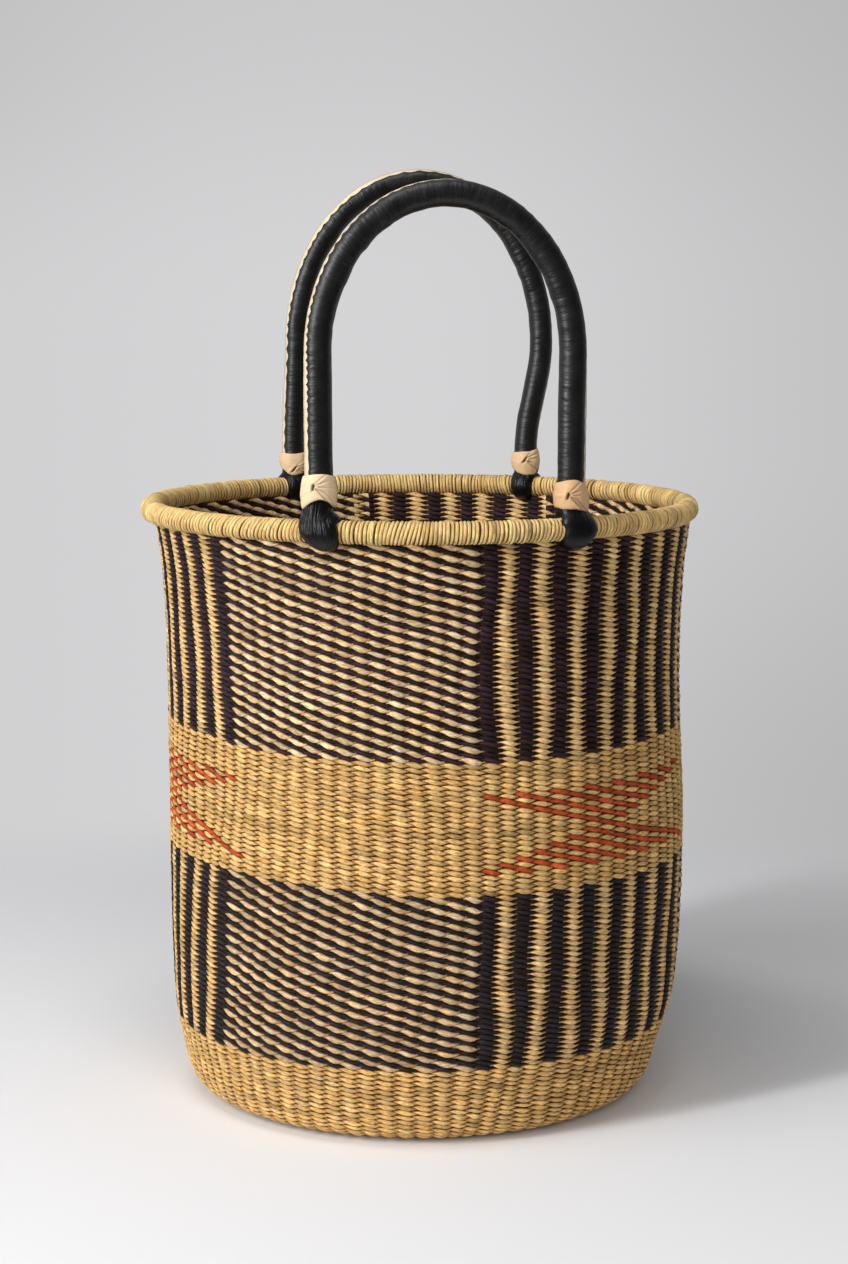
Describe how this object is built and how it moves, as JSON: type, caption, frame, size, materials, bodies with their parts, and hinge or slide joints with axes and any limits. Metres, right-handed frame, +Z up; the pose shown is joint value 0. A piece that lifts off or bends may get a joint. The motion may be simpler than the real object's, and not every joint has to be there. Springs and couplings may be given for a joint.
{
  "type": "woven straw basket",
  "caption": "Round twined straw market basket with dark checked bands, a lashed rim and two leather covered bow handles that fold in and out.",
  "frame": {"origin": "middle of the underside, on the surface the basket stands on", "axes": "+Z up, -Y towards the front handle, +X to the right when seen from the front"},
  "size_m": [0.3996, 0.3996, 0.6666],
  "materials": {
    "straw": "matt natural straw, twisted strands",
    "rim_straw": "pale straw lashing, slightly glossy",
    "aubergine_weave": "matt straw, natural and aubergine strands",
    "ink_weave": "matt straw, natural and blue-black strands",
    "handle_straw": "bundled straw inside the handle",
    "black_leather": "satin black leather, creased",
    "tan_leather": "undyed leather, dull",
    "cream_lining": "pale rawhide edge, matt"
  },
  "bodies": {
    "basket": {"base_weave": "straw", "wall_lower_plain": "straw", "wall_lower_pattern": "ink_weave", "wall_middle": "straw", "wall_upper_pattern": "aubergine_weave", "rim_core": "straw", "rim_binding": "rim_straw", "foot_wrap_front_left": "black_leather", "foot_wrap_front_right": "black_leather", "foot_wrap_rear_left": "black_leather", "foot_wrap_rear_right": "black_leather"},
    "front_handle": {"handle_core_front": "handle_straw", "handle_sleeve_front": "black_leather", "sleeve_lining_front": "cream_lining", "collar_front_left": "tan_leather", "collar_front_right": "tan_leather", "collar_tuck_front_left": "tan_leather", "collar_tuck_front_right": "tan_leather"},
    "rear_handle": {"handle_core_rear": "handle_straw", "handle_sleeve_rear": "black_leather", "sleeve_lining_rear": "cream_lining", "collar_rear_left": "tan_leather", "collar_rear_right": "tan_leather", "collar_tuck_rear_left": "tan_leather", "collar_tuck_rear_right": "tan_leather"}
  },
  "joints": [
    {"name": "front_handle_swing", "type": "hinge", "parent": "basket", "child": "front_handle", "pos_m": [0.00574, -0.17304, 0.4213], "axis": [0.9995, 0.0332, 0], "range_deg": [-45, 110]},
    {"name": "rear_handle_swing", "type": "hinge", "parent": "basket", "child": "rear_handle", "pos_m": [0.0059, 0.16907, 0.4213], "axis": [-0.9994, 0.0349, 0], "range_deg": [-45, 110]}
  ]
}
